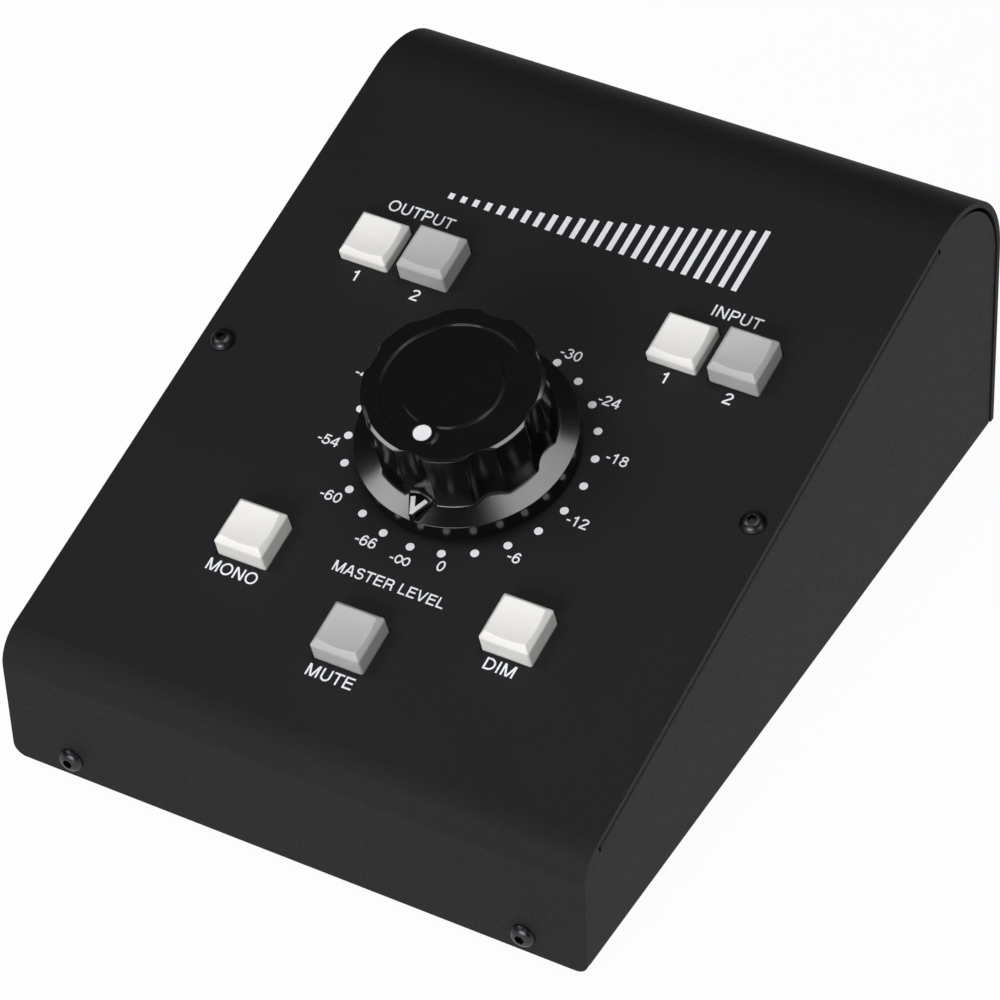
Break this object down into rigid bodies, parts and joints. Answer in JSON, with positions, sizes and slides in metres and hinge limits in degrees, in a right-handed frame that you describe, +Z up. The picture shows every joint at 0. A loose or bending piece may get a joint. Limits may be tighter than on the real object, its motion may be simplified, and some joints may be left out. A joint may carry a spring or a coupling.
{
  "type": "studio monitor controller",
  "caption": "Desktop studio monitor controller: folded black sheet case with a sloped panel, large fluted stepped level knob, square push buttons and rear phone jacks.",
  "frame": {"origin": "on the plane under the feet, below the middle of the case", "axes": "+X to the user's right, +Y to the back where the jacks are, +Z up"},
  "size_m": [0.14, 0.197, 0.0835],
  "materials": {
    "case_paint": "fine satin black powder coat on folded sheet",
    "black_steel": "black oxide steel, slightly oiled",
    "zinc_steel": "bright zinc plate",
    "rubber": "moulded matt black rubber",
    "black_gloss": "moulded glossy black plastic",
    "white_plastic": "white inlay",
    "brass": "turned brass",
    "nickel": "bright nickel plate",
    "die_cast": "die-cast metal, matt",
    "shaft_steel": "turned steel",
    "spring_steel": "drawn spring wire",
    "phenolic": "brown phenolic laminate",
    "natural_nylon": "natural nylon",
    "resistor": "resistor body",
    "ivory_plastic": "ivory moulded plastic, satin",
    "grey_plastic": "light grey moulded plastic, satin",
    "black_plastic": "moulded black nylon",
    "tin_plate": "tin-plated steel",
    "board_green": "glass-epoxy board with solder mask",
    "ribbon_grey": "grey vinyl flat cable"
  },
  "bodies": {
    "case": {"attenuator_drum": "die_cast", "attenuator_nut": "nickel", "attenuator_plate": "zinc_steel", "attenuator_spacers": "shaft_steel", "attenuator_tie_screws": "zinc_steel", "attenuator_washer": "nickel", "board_screws": "zinc_steel", "board_standoffs": "brass", "chassis": "case_paint", "clinch_nuts": "zinc_steel", "control_board": "board_green", "cover": "case_paint", "cover_screws": "black_steel", "detent_balls": "nickel", "detent_springs": "spring_steel", "jack_board": "board_green", "jack_bodies": "black_plastic", "jack_nuts": "nickel", "jack_sleeves": "nickel", "jack_terminals": "nickel", "pad_resistors": "resistor", "ribbon_cable": "ribbon_grey", "ribbon_connectors": "black_plastic", "rubber_feet": "rubber", "spring_dim": "spring_steel", "spring_input_1": "spring_steel", "spring_input_2": "spring_steel", "spring_mono": "spring_steel", "spring_mute": "spring_steel", "spring_output_1": "spring_steel", "spring_output_2": "spring_steel", "step_resistors": "resistor", "switch_housings": "black_plastic", "switch_lids": "tin_plate", "switch_terminals": "nickel", "wafer_contacts": "brass", "wafers": "phenolic"},
    "knob": {"knob": "black_gloss", "knob_dot": "white_plastic", "knob_pointer": "white_plastic", "knob_insert": "brass", "knob_grub_screw": "black_steel", "attenuator_shaft": "shaft_steel", "detent_wheel": "natural_nylon", "rotors": "natural_nylon", "wipers": "brass"},
    "button_output_1": {"cap_output_1": "ivory_plastic", "plunger_output_1": "natural_nylon"},
    "button_output_2": {"cap_output_2": "grey_plastic", "plunger_output_2": "natural_nylon"},
    "button_input_1": {"cap_input_1": "ivory_plastic", "plunger_input_1": "natural_nylon"},
    "button_input_2": {"cap_input_2": "grey_plastic", "plunger_input_2": "natural_nylon"},
    "button_mono": {"cap_mono": "ivory_plastic", "plunger_mono": "natural_nylon"},
    "button_mute": {"cap_mute": "grey_plastic", "plunger_mute": "natural_nylon"},
    "button_dim": {"cap_dim": "ivory_plastic", "plunger_dim": "natural_nylon"}
  },
  "joints": [
    {"name": "knob_turn", "type": "hinge", "parent": "case", "child": "knob", "pos_m": [0, -0.0172, 0.05631], "axis": [0, -0.2656, 0.9641], "range_deg": [-345, 0]},
    {"name": "press_output_1", "type": "slide", "parent": "case", "child": "button_output_1", "axis": [0, 0.2656, -0.9641], "range_m": [-0.0023, 0.0007], "deforming": ["spring_output_1"]},
    {"name": "press_output_2", "type": "slide", "parent": "case", "child": "button_output_2", "axis": [0, 0.2656, -0.9641], "range_m": [0, 0.003], "stiffness_N_per_m": 400, "springref_m": -0.001, "deforming": ["spring_output_2"]},
    {"name": "press_input_1", "type": "slide", "parent": "case", "child": "button_input_1", "axis": [0, 0.2656, -0.9641], "range_m": [-0.0023, 0.0007], "deforming": ["spring_input_1"]},
    {"name": "press_input_2", "type": "slide", "parent": "case", "child": "button_input_2", "axis": [0, 0.2656, -0.9641], "range_m": [0, 0.003], "stiffness_N_per_m": 400, "springref_m": -0.001, "deforming": ["spring_input_2"]},
    {"name": "press_mono", "type": "slide", "parent": "case", "child": "button_mono", "axis": [0, 0.2656, -0.9641], "range_m": [0, 0.003], "stiffness_N_per_m": 400, "springref_m": -0.001, "deforming": ["spring_mono"]},
    {"name": "press_mute", "type": "slide", "parent": "case", "child": "button_mute", "axis": [0, 0.2656, -0.9641], "range_m": [0, 0.003], "stiffness_N_per_m": 400, "springref_m": -0.001, "deforming": ["spring_mute"]},
    {"name": "press_dim", "type": "slide", "parent": "case", "child": "button_dim", "axis": [0, 0.2656, -0.9641], "range_m": [0, 0.003], "stiffness_N_per_m": 400, "springref_m": -0.001, "deforming": ["spring_dim"]}
  ]
}
